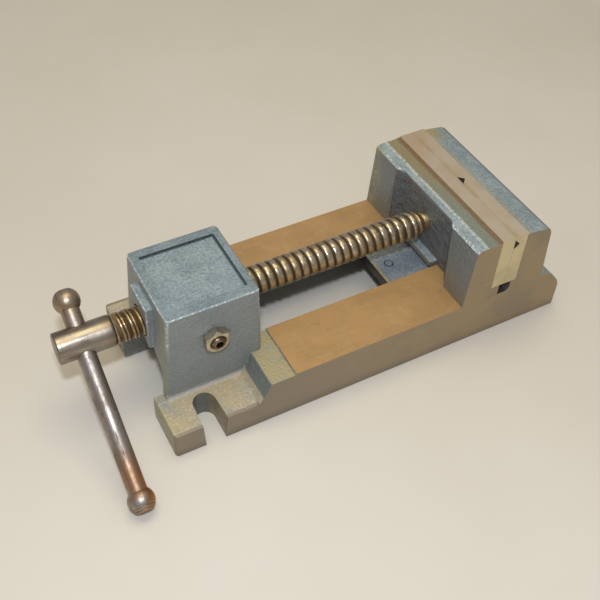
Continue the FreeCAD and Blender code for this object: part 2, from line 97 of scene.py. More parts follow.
FIXED_JAW_CORNER = {"x": (8, 9, 11, 22), "nz": (0.6, 0.9), "y": (34, 46), "z": (60, 62)}
BEHIND_PLATE = {"x": (7.6, 8, 8, 15), "nz": (0.6, 0.9), "z": (60, 62)}
REAR_LUG = {"x": (24, 27), "z": (33, 30)}
NOTCH = {"x": (0.2, 1.4, 7, 9), "z": (28, 30, 36.5, 37.5)}

JAW_EDGES = {"z": (66, 69)}
JAW_FOOT = {"z": (52, 30)}
JAW_HOLLOW = {"x": (-25.2, -24.2, -19.5, -18.5), "side": (31, 28), "z": (70, 69), "nz": (0.75, 0.5)}
JAW_ACROSS = {"y": (-30, 40)}
JAW_FAR_EDGES = {"y": (20, 46)}
JAW_LOW_EDGES = {"z": (45, 32)}
JAW_FAR_CORNER = {"y": (38, 48), "nx": (-0.3, -0.6)}
# Stripes along the moving jaw's top, as bands of x.
GOLDEN_STRIPE = (-19.0, -17.4)
# band of the painted highlight along the ridge
PAINTED_HIGHLIGHT_RIDGE = (-19.6, -18.8, -18.0, -17.2)
BROWN_STRIPE = (-12.0, -10.2)

GUIDE_SIDES = {"side": (12.5, 15.2)}
GUIDE_END = {"x": (GUIDE_FRONT + 2.5, GUIDE_FRONT + 0.8)}
PIN_RING = (1.7, 2.3, 2.7, 3.2)
PLATE_ENDS = {"flank": (0.6, 0.9)}
PLATE_SEAM = (2.6, 0.4)
V_GROOVE_X = (0.25, 1.2, 3.6, 4.2)

THREADED = {"x": (-209, -208, -26, -24)}
THREAD_NEAR_HEAD = {"x": (-184, -190)}
THREAD_TAPER = {"x": (-31.5, -23.5)}
THREAD_ROOT = (0.55, 1.3)
SCREW_HEAD = {"x": (-208.5, -210)}
HEAD_SHOULDER_FILM = {"x": (-216, -209.5)}
SCREW_TOP = {"nz": (0.1, 0.9)}
SCREW_ENDWARD = {"nx": (-0.4, -0.8)}
SCREW_NOSE = {"x": (-31, -29)}
BAR_LOW_END = {"y": (-46, -62)}
BAR_HIGH_END = {"y": (2, 12)}
BAR_JAW_SIDE = {"nx": (-0.1, 0.7)}


# ---------------------------------------------------------------- colours
def srgb(r, g, b):
    """0-255 display colour to a linear RGBA tuple."""
    linear = []
    for channel in (r, g, b):
        share = channel / 255.0
        linear.append(share / 12.92 if share <= 0.04045 else ((share + 0.055) / 1.055) ** 2.4)
    return tuple(linear) + (1.0,)


# Tones in one tuple are mixed with each other, most of them by a broad noise.
BASE_ENAMEL = (srgb(143, 158, 160), srgb(125, 140, 143))
JAW_ENAMEL = (srgb(156, 168, 168), srgb(138, 150, 150))
GUIDE_ENAMEL = (srgb(140, 147, 152), srgb(122, 130, 136))
PALE_FLECK = srgb(170, 184, 183)
DARK_FLECK = srgb(88, 100, 103)
PALE_GRAIN = srgb(196, 206, 204)
DARK_GRAIN = srgb(78, 88, 90)
BASE_WALL = srgb(132, 134, 129)
JAW_WALL = srgb(112, 114, 110)
GUIDE_WALL = srgb(52, 44, 34)
# Painted light on rounded edges: shade where they face the back, a highlight and glints where they face the
# front.
EDGE_SHADE = srgb(98, 103, 102)
EDGE_HIGHLIGHT = srgb(172, 184, 184)
EDGE_GLINT = srgb(232, 238, 238)
WORN_OLIVE = srgb(150, 148, 112)
WORN_IRON = srgb(178, 160, 118)
WAY_TONES = (srgb(184, 146, 96), srgb(172, 136, 90))
WAY_BLOTCH = srgb(196, 160, 112)
WAY_LINE = srgb(150, 118, 76)
WAY_SPOT = srgb(126, 100, 66)
SIDE_TONES = (srgb(142, 129, 109), srgb(160, 141, 106))
SIDE_BLOTCH = srgb(134, 122, 106)
SIDE_LINE = srgb(184, 166, 136)
SIDE_FOOT = srgb(104, 96, 86)
LUG_TONES = (srgb(194, 174, 132), srgb(172, 164, 142))
LUG_SPECK = srgb(226, 216, 196)
RAMP_DARK = srgb(84, 94, 90)
RAMP_SPOT = srgb(176, 152, 118)
# painted highlight along the fillet at the housing's foot
FOOT_FILLET_HIGHLIGHT = srgb(182, 184, 184)
LEDGE_OLIVE = srgb(176, 160, 114)
# dirt and painted shade for the slot walls
SLOT_DIRT_AND_SHADE = srgb(98, 96, 82)
SLOT_RUST = srgb(160, 140, 100)
FRONT_OLIVE = srgb(146, 148, 112)
# dirt and painted shade for the housing's recess
RECESS_DIRT_AND_SHADE = srgb(44, 60, 68)
RIM_DULL = srgb(92, 106, 110)
CORNER_OLIVE = srgb(158, 144, 96)
# grime and painted shade for the ways under the plates
WAY_GRIME_AND_SHADE = srgb(38, 34, 30)
BEHIND_PLATE_TAN = srgb(170, 156, 122)
REAR_LUG_OLIVE = srgb(126, 126, 106)
# painted shade for the notch under the plates
NOTCH_SHADE = srgb(70, 66, 64)
JAW_FOOT_BROWN = srgb(128, 116, 90)
# painted shade for the moving jaw's hollow
HOLLOW_SHADE = srgb(88, 94, 98)
STRIPE_TONES = (srgb(120, 124, 104), srgb(142, 124, 78))
# painted highlight for the moving jaw's ridge
RIDGE_HIGHLIGHT = srgb(206, 214, 206)
STRIPE_BROWN = srgb(124, 92, 54)
RING_DARK = srgb(52, 58, 62)
PLATE_TOP = (srgb(192, 178, 156), srgb(182, 162, 132))
PLATE_LINE = srgb(188, 176, 156)
PLATE_RUST = srgb(176, 146, 100)
PLATE_SIDE = (srgb(214, 198, 154), srgb(200, 186, 144))
# painted shade for the V groove
V_GROOVE_SHADE = srgb(52, 44, 36)
SCREW_TONES = (srgb(206, 196, 174), srgb(174, 160, 130), srgb(146, 122, 86))
THREAD_GOLD = srgb(186, 164, 124)
THREAD_MOTTLE = srgb(120, 100, 72)
# brown film and painted shade for the thread's root
ROOT_BROWN_AND_SHADE = srgb(110, 90, 62)
NEAR_HEAD_BROWN = srgb(168, 138, 92)
HEAD_GREY = srgb(148, 141, 136)
# tan streak colour, partly a painted warm reflection
HEAD_TOP_SHEEN = srgb(176, 150, 108)
HEAD_LINE = srgb(104, 90, 74)
ENDWARD_BROWN = srgb(96, 82, 66)
SHOULDER_BROWN = srgb(120, 96, 70)
NOSE_GOLD = srgb(206, 178, 124)
HANDLE_TONES = (srgb(170, 162, 154), srgb(142, 132, 120), srgb(126, 98, 66))
HANDLE_RUST = srgb(166, 114, 62)
HANDLE_TAN = srgb(170, 148, 120)
HANDLE_MARK = srgb(100, 88, 74)
FASTENER_SPECK = srgb(60, 52, 42)
BENCH_TONES = (srgb(222, 215, 202), srgb(216, 208, 194))


# ---------------------------------------------------------------- node helpers
class Paint:
    """A Principled material under construction, with short calls for the nodes it uses."""

    def __init__(self, name):
        self.mat = bpy.data.materials.new(name)
        self.mat.use_nodes = True
        self.tree = self.mat.node_tree
        self.bsdf = self.tree.nodes["Principled BSDF"]
        self.coord = self.tree.nodes.new("ShaderNodeTexCoord").outputs["Object"]
        geometry = self.tree.nodes.new("ShaderNodeNewGeometry")
        self.x, self.y, self.z = self.split(self.coord)
        self.nx, self.ny, self.nz = self.split(geometry.outputs["Normal"])
        self.lengths = {"x": self.x, "y": self.y, "z": self.z, "side": self.absolute(self.y)}
        self.normals = {"nx": self.nx, "ny": self.ny, "nz": self.nz, "flank": self.absolute(self.ny)}

    def split(self, vector):
        """The vector's three components."""
        node = self.tree.nodes.new("ShaderNodeSeparateXYZ")
        self.tree.links.new(vector, node.inputs[0])
        return node.outputs

    def set(self, socket, value):
        """Feed the socket from another node's output, or give it a fixed value."""
        if isinstance(value, bpy.types.NodeSocket):
            self.tree.links.new(value, socket)
        else:
            socket.default_value = value

    def math(self, operation, a, b=0.0):
        node = self.tree.nodes.new("ShaderNodeMath")
        node.operation = operation
        self.set(node.inputs[0], a)
        self.set(node.inputs[1], b)
        return node.outputs[0]

    def absolute(self, value):
        return self.math("ABSOLUTE", value)

    def without(self, mask):
        """The mask turned round: 1 where it is 0."""
        return self.math("SUBTRACT", 1.0, mask)

    def either(self, a, b):
        return self.math("MAXIMUM", a, b)

    def both(self, *masks):
        """Product of the masks or numbers given."""
        product = masks[0]
        for mask in masks[1:]:
            product = self.math("MULTIPLY", product, mask)
        return product

    def radius(self, a, b):
        """Distance from an axis, from the two offsets across it."""
        squares = self.math("ADD", self.math("POWER", a, 2.0), self.math("POWER", b, 2.0))
        return self.math("SQRT", squares)

    def step(self, value, off, on):
        """0 at off and beyond, 1 at on and beyond, smooth between; either may be the larger."""
        falling = off > on
        node = self.tree.nodes.new("ShaderNodeMapRange")
        node.interpolation_type = "SMOOTHSTEP"
        self.set(node.inputs["Value"], value)
        node.inputs["From Min"].default_value = min(off, on)
        node.inputs["From Max"].default_value = max(off, on)
        node.inputs["To Min"].default_value = 1.0 if falling else 0.0
        node.inputs["To Max"].default_value = 0.0 if falling else 1.0
        return node.outputs[0]

    def band(self, value, edges, unit=MM):
        """Mask along value, with edges (off, on) or (off, on, on, off)."""
        edges = [edge * unit for edge in edges]
        mask = self.step(value, edges[0], edges[1])
        if len(edges) == 4:
            mask = self.both(mask, self.step(value, edges[3], edges[2]))
        return mask

    def region(self, bands):
        """1 where all the bands of a region hold."""
        masks = []
        for name, edges in bands.items():
            if name in self.normals:
                masks.append(self.band(self.normals[name], edges, unit=1.0))
            else:
                masks.append(self.band(self.lengths[name], edges))
        return self.both(*masks)

    def noise(self, scale, detail=3.0, rough=0.55, stretch=(1, 1, 1), shift=0.0):
        mapping = self.tree.nodes.new("ShaderNodeMapping")
        mapping.inputs["Scale"].default_value = stretch
        mapping.inputs["Location"].default_value = (shift, shift * 0.7, shift * 1.3)
        self.tree.links.new(self.coord, mapping.inputs["Vector"])
        node = self.tree.nodes.new("ShaderNodeTexNoise")
        node.inputs["Scale"].default_value = scale
        node.inputs["Detail"].default_value = detail
        node.inputs["Roughness"].default_value = rough
        self.tree.links.new(mapping.outputs[0], node.inputs["Vector"])
        return node.outputs["Fac"]

    def patches(self, scale, edges, **texture):
        """Mask of patches: noise cut between two levels, (off, on)."""
        return self.step(self.noise(scale, **texture), *edges)

    def ragged(self, value, scale, spread, shift):
        """A length made uneven by noise, with its spread in millimetres."""
        swing = self.math("SUBTRACT", self.noise(scale, shift=shift), 0.5)
        return self.math("ADD", value, self.both(swing, spread * MM))

    def mix(self, fac, a, b):
        node = self.tree.nodes.new("ShaderNodeMix")
        node.data_type = "RGBA"
        self.set(node.inputs["Factor"], fac)
        colours = [socket for socket in node.inputs if socket.type == "RGBA"]
        self.set(colours[0], a)
        self.set(colours[1], b)
        return [socket for socket in node.outputs if socket.type == "RGBA"][0]

    def over(self, colour, coat, *masks):
        """The colour with a coat over it, as thick as the product of the masks."""
        return self.mix(self.both(*masks), colour, coat)

    def blend(self, fac, a, b):
        """Float mix: a where fac is 0, b where it is 1."""
        node = self.tree.nodes.new("ShaderNodeMapRange")
        self.set(node.inputs["Value"], fac)
        self.set(node.inputs["To Min"], a)
        self.set(node.inputs["To Max"], b)
        return node.outputs[0]

    def bump(self, height, distance, strength=1.0):
        """Normal for a height of 0 to 1, with the distance in millimetres."""
        node = self.tree.nodes.new("ShaderNodeBump")
        node.inputs["Strength"].default_value = strength
        node.inputs["Distance"].default_value = distance * MM
        self.set(node.inputs["Height"], height)
        return node.outputs[0]

    def finish(self, colour, roughness, metallic, normal):
        """Feed the shader and hand over the material."""
        self.set(self.bsdf.inputs["Base Color"], colour)
        self.set(self.bsdf.inputs["Roughness"], roughness)
        self.set(self.bsdf.inputs["Metallic"], metallic)
        self.tree.links.new(normal, self.bsdf.inputs["Normal"])
        return self.mat


# ---------------------------------------------------------------- enamel and ground iron
def enamel(p, tones):
    """Blue-grey enamel over a pebbly casting: its colour, its fine noise, and its upright faces."""
    fine = p.noise(620, rough=0.6)
    grain = p.noise(1500, detail=2, rough=0.6, shift=7.0)
    colour = p.mix(p.patches(60, (0.36, 0.64)), *tones)
    colour = p.over(colour, PALE_FLECK, p.step(fine, 0.50, 0.66), 0.45)
    colour = p.over(colour, DARK_FLECK, p.step(fine, 0.48, 0.34), 0.40)
    colour = p.over(colour, PALE_GRAIN, p.step(grain, 0.60, 0.70), 0.45)
    colour = p.over(colour, DARK_GRAIN, p.step(grain, 0.40, 0.30), 0.40)
    upright = p.step(p.absolute(p.nz), 0.75, 0.45)
    return colour, fine, upright


def enamel_gloss(p, fine):
    """Roughness of the enamel, glossier on its high spots."""
    return p.blend(p.step(fine, 0.4, 0.7), 0.30, 0.52)


def rounded(p):
    """1 on fillets and bevels, where the surface faces along no axis."""
    level = p.either(p.absolute(p.nx), p.absolute(p.ny))
    return p.step(p.either(level, p.absolute(p.nz)), 0.97, 0.88)


def edge_highlight_and_shade(p, colour):
    """Rounded edges with painted light: a glossy painted highlight with painted glints where they face the
    front, painted shade where they face the back.
    """
    facing = p.step(p.math("MINIMUM", p.nx, p.ny), -0.10, -0.35)
    glint = p.patches(760, (0.52, 0.60), rough=0.65, shift=11.0)
    colour = p.over(colour, EDGE_SHADE, p.without(facing), 0.55)
    colour = p.over(colour, EDGE_HIGHLIGHT, facing, 0.35)
    return p.over(colour, EDGE_GLINT, facing, glint, 0.85)


def paint_edge_light(p, paint, edge, where):
    """A bevel takes the painted edge highlight and shade all over; on the rest only the rounded edges of a
    region do.
    """
    if edge:
        return edge_highlight_and_shade(p, paint)
    return p.over(paint, edge_highlight_and_shade(p, paint), rounded(p), p.region(where))


def worn(p, colour, where, strength):
    """Worn edge: the enamel thins to olive and then to bare, yellowed iron."""
    patch = p.noise(90, detail=4, rough=0.6, shift=3.0)
    colour = p.over(colour, WORN_OLIVE, p.step(patch, 0.40, 0.56), where, strength)
    return p.over(colour, WORN_IRON, p.step(patch, 0.56, 0.66), where, strength)


def tan_iron(p):
    """Oiled, tarnished ground iron, as on the ways: its colour and its lines."""
    lines = p.noise(60, rough=0.6, stretch=(0.6, 14, 1), shift=2.0)
    colour = p.mix(p.patches(42, (0.35, 0.68), detail=5, rough=0.6), *WAY_TONES)
    blotch = p.patches(150, (0.52, 0.72), detail=4, rough=0.6, shift=5.0)
    colour = p.over(colour, WAY_BLOTCH, blotch, 0.40)
    colour = p.over(colour, WAY_LINE, p.step(lines, 0.56, 0.70), 0.25)
    colour = p.over(colour, WAY_SPOT, p.patches(330, (0.66, 0.74), detail=2, shift=9.0), 0.4)
    return colour, lines


def side_iron(p):
    """Ground side faces, brown-grey at the front and warmer towards the jaws."""
    lines = p.noise(120, rough=0.6, stretch=(0.4, 1, 9), shift=6.0)
    colour = p.mix(p.band(p.x, (-160, 0)), *SIDE_TONES)
    blotch = p.patches(38, (0.45, 0.7), detail=5, rough=0.6, shift=4.0)
    colour = p.over(colour, SIDE_BLOTCH, blotch, 0.5)
    colour = p.over(colour, SIDE_LINE, p.step(lines, 0.55, 0.72), 0.3)
    return p.over(colour, SIDE_FOOT, p.band(p.z, (7, 0)), 0.45), lines


# ---------------------------------------------------------------- base casting
def lugs_and_ramps(p, paint, upright):
    """The base's front end: rusty lug tops and ledges, darker ramps, a painted highlight along the
    housing's foot fillet, and dirty, rusty slots with painted shade on their walls.
    """
    rust = p.patches(150, (0.34, 0.56), detail=4, rough=0.65, shift=2.0)
    ramp = p.region(RAMPS)
    spots = p.patches(260, (0.60, 0.68), rough=0.6, shift=6.0)
    paint = p.over(paint, RAMP_DARK, ramp, 0.55)
    paint = p.over(paint, RAMP_SPOT, ramp, spots, 0.7)

    bare = p.mix(p.patches(34, (0.4, 0.6), shift=8.0), *LUG_TONES)
    bare = p.over(bare, LUG_SPECK, p.patches(620, (0.54, 0.66), rough=0.6, shift=5.0), 0.5)
    colour = p.over(paint, bare, p.region(LUG_TOPS), p.blend(rust, 0.70, 0.95))
    # painted highlight along the fillet at the housing's foot
    colour = p.over(colour, FOOT_FILLET_HIGHLIGHT, p.region(HOUSING_FOOT), 0.5)
    colour = p.over(colour, LEDGE_OLIVE, p.region(LEDGES), p.blend(rust, 0.6, 0.9))

    slot = p.both(upright, p.region(LOW_WALLS))
    # dirt and painted shade on the slot walls beside the housing
    colour = p.over(colour, SLOT_DIRT_AND_SHADE, slot, p.region(OUTSIDE_HOUSING), 0.7)
    return p.over(colour, SLOT_RUST, slot, p.region(FACING_HANDLE), p.blend(rust, 0.3, 0.8))


def housing_marks(p, colour):
    """Olive tint on the housing's front, dirt and painted shade in its recess along the far and back walls,
    a duller rim on top.
    """
    colour = p.over(colour, FRONT_OLIVE, p.region(HOUSING_FRONT), 0.6)
    corner = p.either(p.region(RECESS_FAR_SIDE), p.region(RECESS_BACK))
    # dirt and painted shade along the recess's far and back walls
    colour = p.over(colour, RECESS_DIRT_AND_SHADE, p.region(RECESS), corner, 0.85)
    return p.over(colour, RIM_DULL, p.region(HOUSING_RIM), 0.30)


def fixed_jaw_marks(p, colour, unground):
    """Tan behind the plate's top edge, an olive rear lug, and painted shade in the notch under the plates.
    """
    colour = p.over(colour, BEHIND_PLATE_TAN, p.region(BEHIND_PLATE), 0.5)
    colour = p.over(colour, REAR_LUG_OLIVE, p.region(REAR_LUG), unground, 0.6)
    # painted shade in the notch under the plates
    return p.over(colour, NOTCH_SHADE, p.region(NOTCH), unground, 0.85)


def base_material(edge=False):
    """Enamel with ground ways and sides; edge=True is the finish of the bevels, with their painted
    highlight and shade.
    """
    p = Paint("base_edges" if edge else "base_finish")
    paint, fine, upright = enamel(p, BASE_ENAMEL)
    paint = p.over(paint, BASE_WALL, upright, 0.75)
    # painted highlight and shade on the housing's rounded edges
    paint = paint_edge_light(p, paint, edge, HOUSING_EDGES)
    colour = lugs_and_ramps(p, paint, upright)
    colour = p.over(colour, CORNER_OLIVE, p.region(FIXED_JAW_CORNER), 0.9)
    colour = housing_marks(p, colour)
    if edge:
        colour = worn(p, colour, p.region(BASE_LOW_EDGES), 0.8)

    way_start = p.band(p.ragged(p.x, 260, 1.6, shift=7.0), (WAY_FRONT, WAY_FRONT + 0.5))
    on_way = p.both(p.region(WAY_TOPS), way_start)
    on_side = p.either(p.region(GROUND_SIDES), p.region(LUG_ROUNDING))
    ways, way_lines = tan_iron(p)
    sides, side_lines = side_iron(p)
    colour = p.mix(on_side, colour, sides)
    colour = p.mix(on_way, colour, ways)
    # grime and painted shade on the ways under the jaw plates
    colour = p.over(colour, WAY_GRIME_AND_SHADE, on_way, p.region(WAYS_AT_JAW), 0.9)
    colour = fixed_jaw_marks(p, colour, p.without(on_side))

    machined = p.either(on_way, on_side)
    roughness = p.blend(machined, enamel_gloss(p, fine), 0.50)
    lines = p.both(p.blend(on_way, side_lines, way_lines), 0.10)
    pebbles = p.both(p.noise(1300, detail=2), p.blend(machined, 0.35, 0.05))
    height = p.math("ADD", p.blend(machined, fine, lines), pebbles)
    return p.finish(colour, roughness, p.both(machined, 0.25), p.bump(height, 0.85))


# ---------------------------------------------------------------- moving jaw
def jaw_top_stripes(p, paint, fine):
    """Along the jaw's top edge: an oxidised golden stripe, a speckled painted highlight along its ridge and
    a brown stripe.
    """
    along = p.ragged(p.x, 120, 1.5, shift=1.0)
    up = p.step(p.nz, 0.7, 0.9)
    golden = p.mix(p.region(JAW_ACROSS), *STRIPE_TONES)
    colour = p.over(paint, golden, up, p.band(along, GOLDEN_STRIPE), 0.85)
    ridge = p.band(along, PAINTED_HIGHLIGHT_RIDGE)
    # speckled painted highlight along the ridge
    colour = p.over(colour, RIDGE_HIGHLIGHT, up, ridge, p.step(fine, 0.36, 0.5), 0.55)
    return p.over(colour, STRIPE_BROWN, up, p.band(along, BROWN_STRIPE), 0.85)


def jaw_material(edge=False):
    """Enamel with ground sides and a rough hollow in painted shade; edge=True is the finish of the bevels,
    with their painted highlight and shade.
    """
    p = Paint("moving_jaw_edges" if edge else "moving_jaw_finish")
    paint, fine, upright = enamel(p, JAW_ENAMEL)
    paint = p.over(paint, JAW_WALL, upright, 0.8)
    # painted highlight and shade on the jaw's rounded edges
    paint = paint_edge_light(p, paint, edge, JAW_EDGES)
    paint = p.over(paint, JAW_FOOT_BROWN, p.region(JAW_FOOT), upright, 0.65)
    hollow = p.region(JAW_HOLLOW)
    # painted shade in the jaw's hollow
    paint = p.over(paint, HOLLOW_SHADE, hollow, 0.75)
    colour = jaw_top_stripes(p, paint, fine)
    if edge:
        where = p.either(p.region(JAW_FAR_EDGES), p.region(JAW_LOW_EDGES))
        colour = worn(p, colour, where, 0.7)

    on_side = p.region(GROUND_SIDES)
    sides, side_lines = side_iron(p)
    colour = p.mix(on_side, colour, sides)
    colour = worn(p, colour, p.region(JAW_FAR_CORNER), 0.7)

    roughness = p.blend(on_side, enamel_gloss(p, fine), 0.48)
    pebbles = p.math("ADD", fine, p.both(p.noise(1300, detail=2), 0.35))
    height = p.blend(on_side, pebbles, p.both(side_lines, 0.12))
    lumps = p.noise(210, detail=2, rough=0.5, shift=4.0)
    height = p.math("ADD", height, p.both(hollow, lumps, 3.0))
    return p.finish(colour, roughness, p.both(on_side, 0.3), p.bump(height, 0.85))


# ---------------------------------------------------------------- guide block and jaw plates
def guide_material():
    """Enamel, worn along its sides and front end, with a dark ring round the pin."""
    p = Paint("guide_finish")
    paint, fine, upright = enamel(p, GUIDE_ENAMEL)
    paint = worn(p, paint, p.either(p.region(GUIDE_SIDES), p.region(GUIDE_END)), 0.9)
    paint = p.over(paint, GUIDE_WALL, upright, 0.95)
    from_pin = p.radius(p.math("SUBTRACT", p.x, PIN_X), p.y)
    paint = p.over(paint, RING_DARK, p.band(from_pin, PIN_RING), 0.75)
    return p.finish(paint, 0.34, 0.0, p.bump(fine, 0.5, 0.9))


def plate_material():
    """Ground steel, tan on top and paler at the ends, rusty at the closed joint, painted shade in the V
    groove.
    """
    p = Paint("jaw_plate_finish")
    broad = p.noise(40, detail=4, rough=0.6)
    lines = p.noise(90, rough=0.6, stretch=(8, 0.35, 8), shift=1.0)
    top = p.mix(p.step(broad, 0.38, 0.66), *PLATE_TOP)
    top = p.over(top, PLATE_LINE, p.step(lines, 0.5, 0.7), 0.4)
    seam = p.band(p.absolute(p.x), PLATE_SEAM)
    top = p.over(top, PLATE_RUST, seam, p.patches(50, (0.35, 0.6), shift=2.0), 0.6)
    side = p.mix(p.step(broad, 0.4, 0.62), *PLATE_SIDE)
    colour = p.mix(p.region(PLATE_ENDS), top, side)
    groove = p.both(p.band(p.x, V_GROOVE_X), p.step(p.absolute(p.nx), 0.3, 0.6))
    # painted shade in the V groove
    colour = p.over(colour, V_GROOVE_SHADE, groove, 0.85)
    roughness = p.blend(p.step(broad, 0.3, 0.7), 0.38, 0.52)
    return p.finish(colour, roughness, 0.35, p.bump(lines, 0.06, 0.6))


# ---------------------------------------------------------------- turned steel and fasteners
def turned_steel(p, tones, rough, rust):
    """Turned steel under a patchy brown film: its colour, its roughness and its small pits."""
    light, dark, brown = tones
    film = p.noise(70, detail=5, rough=0.62)
    pits = p.noise(420, rough=0.6, shift=4.0)
    colour = p.mix(p.step(film, 0.40, 0.66), light, dark)
    colour = p.over(colour, brown, p.patches(30, (0.52, 0.70), detail=4, rough=0.6, shift=8.0), rust)
    colour = p.over(colour, brown, p.step(pits, 0.58, 0.72), 0.5)
    roughness = p.blend(p.step(film, 0.3, 0.7), rough * 0.8, rough * 1.35)
    return colour, roughness, pits


def thread_marks(p, colour, threaded, root):
    """Gold and brown mottling on the thread, browner near the head, and a darker brown in its root that is
    partly painted shade.
    """
    gold = p.patches(110, (0.42, 0.60), rough=0.6, shift=2.0)
    mottle = p.patches(700, (0.50, 0.62), rough=0.65, shift=9.0)
    colour = p.over(colour, THREAD_GOLD, threaded, gold, 0.5)
    colour = p.over(colour, THREAD_MOTTLE, threaded, mottle, 0.55)
    # brown film and painted shade in the thread's root
    colour = p.over(colour, ROOT_BROWN_AND_SHADE, root, 0.9)
    return p.over(colour, NEAR_HEAD_BROWN, threaded, p.region(THREAD_NEAR_HEAD), 0.5)


def head_marks(p, colour):
    """The grey head with tan streaks on its top, partly a painted warm reflection, and dark lines; browner
    at its shoulder.

    Whatever faces the handle's end of the screw, its thread included, is browner too.
    """
    head = p.region(SCREW_HEAD)
    streak = p.patches(46, (0.48, 0.64), rough=0.6, stretch=(0.3, 1, 1), shift=2.0)
    lines = p.patches(240, (0.50, 0.62), rough=0.7, stretch=(0.12, 1, 1), shift=6.0)
    colour = p.over(colour, HEAD_GREY, head, 0.7)
    # tan streaks on the head's top, partly a painted warm reflection
    colour = p.over(colour, HEAD_TOP_SHEEN, head, streak, p.region(SCREW_TOP), 0.45)
    colour = p.over(colour, HEAD_LINE, head, lines, 0.55)
    colour = p.over(colour, ENDWARD_BROWN, p.region(SCREW_ENDWARD), 0.5)
    return p.over(colour, SHOULDER_BROWN, head, p.region(HEAD_SHOULDER_FILM), 0.5)


def screw_material():
    """Turned steel with a thread, a head and a nose that each have their own tone."""
    p = Paint("screw_finish")
    colour, roughness, pits = turned_steel(p, SCREW_TONES, 0.34, 0.25)
    from_axis = p.radius(p.y, p.math("SUBTRACT", p.z, SCREW_Z))
    crest = p.blend(p.region(THREAD_TAPER), CREST_R, NECK_R)
    threaded = p.region(THREADED)
    root = p.both(threaded, p.band(p.math("SUBTRACT", crest, from_axis), THREAD_ROOT))
    colour = thread_marks(p, colour, threaded, root)
    colour = head_marks(p, colour)
    colour = p.over(colour, NOSE_GOLD, p.region(SCREW_NOSE), 0.5)
    roughness = p.math("ADD", roughness, p.both(root, 0.3))
    rings = p.noise(900, detail=2, rough=0.5, stretch=(1, 0.05, 0.05))
    dents = p.noise(380, rough=0.6, shift=1.0)
    marks = p.blend(threaded, p.both(pits, 0.7), p.both(dents, 3.5))
    height = p.math("ADD", p.both(rings, 0.3), marks)
    return p.finish(colour, roughness, 1.0, p.bump(height, 0.07, 0.9))


def handle_material():
    """Turned steel, rusty at the bar's low end, tan at its high end, scratched all over."""
    p = Paint("handle_finish")
    colour, roughness, pits = turned_steel(p, HANDLE_TONES, 0.44, 0.3)
    patch = p.patches(75, (0.36, 0.52), detail=4, rough=0.6, shift=6.0)
    rusty = p.either(p.region(BAR_JAW_SIDE), p.both(patch, 0.7))
    colour = p.over(colour, HANDLE_RUST, p.region(BAR_LOW_END), rusty, 0.85)
    colour = p.over(colour, HANDLE_TAN, p.region(BAR_HIGH_END), p.blend(patch, 0.4, 0.8))
    marks = p.patches(200, (0.54, 0.66), rough=0.7, stretch=(5, 0.35, 0.6), shift=5.0)
    colour = p.over(colour, HANDLE_MARK, marks, 0.45)
    roughness = p.math("ADD", roughness, p.both(marks, 0.12))
    scratches = p.noise(160, rough=0.7, stretch=(6, 0.5, 0.8), shift=3.0)
    height = p.math("ADD", scratches, p.both(pits, 0.9))
    return p.finish(colour, roughness, 1.0, p.bump(height, 0.09))


def fastener_material(name, light, dark, rough):
    """Small fasteners: two tones, darker specks, a light bump."""
    p = Paint(name)
    film = p.noise(260, detail=4, rough=0.6)
    speck = p.noise(1300, rough=0.6, shift=3.0)
    colour = p.mix(p.step(film, 0.38, 0.64), light, dark)
    colour = p.over(colour, FASTENER_SPECK, p.step(speck, 0.60, 0.72), 0.5)
    roughness = p.blend(film, rough * 0.8, rough * 1.3)
    return p.finish(colour, roughness, 1.0, p.bump(speck, 0.04, 0.8))


def bench_material():
    """Pale, slightly uneven bench top."""
    p = Paint("floor_finish")
    colour = p.mix(p.patches(4, (0.3, 0.7), detail=4, rough=0.6), *BENCH_TONES)
    return p.finish(colour, 0.75, 0.0, p.bump(p.noise(160), 0.2, 0.3))


# ---------------------------------------------------------------- mesh helpers
AXIS_R = 0.01 * MM              # radius that stands for the axis at a turned piece's ends
TURNED_STEPS = 64               # steps round a turned piece
CAD_WELD = 0.004 * MM           # vertices closer than these distances are merged
TURNED_WELD = 0.002 * MM
THREAD_WELD = 0.01 * MM
FLAT_ANGLE = 1.0                # faces that meet at less than this count as one flat face
SHARP_ANGLE = 38                # edges sharper than this stay sharp
BEVEL_ANGLE = 32                # edges sharper than this are rounded over


def to_mesh(bm, name):
    mesh = bpy.data.meshes.new(name)
    bm.to_mesh(mesh)
    bm.free()
    return mesh


def link(mesh, name, material):
    obj = bpy.data.objects.new(name, mesh)
    bpy.context.scene.collection.objects.link(obj)
    mesh.materials.clear()
    mesh.materials.append(material)
    return obj


def smooth(mesh, angle):
    mesh.shade_smooth()
    mesh.set_sharp_from_angle(angle=math.radians(angle))


def cad_copy(node):
    """The node's mesh with its split vertices welded and its flat faces merged."""
    bm = bmesh.new()
    bm.from_mesh(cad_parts[node].data)
    bmesh.ops.remove_doubles(bm, verts=bm.verts, dist=CAD_WELD)
    flat = math.radians(FLAT_ANGLE)
    bmesh.ops.dissolve_limit(bm, angle_limit=flat, verts=bm.verts, edges=bm.edges)
    return bm


def apply_modifiers(obj):
    """Swap the object's mesh for the one that its modifiers make."""
    graph = bpy.context.evaluated_depsgraph_get()
    mesh = bpy.data.meshes.new_from_object(obj.evaluated_get(graph))
    obj.modifiers.clear()
    old = obj.data
    obj.data = mesh
    bpy.data.meshes.remove(old)


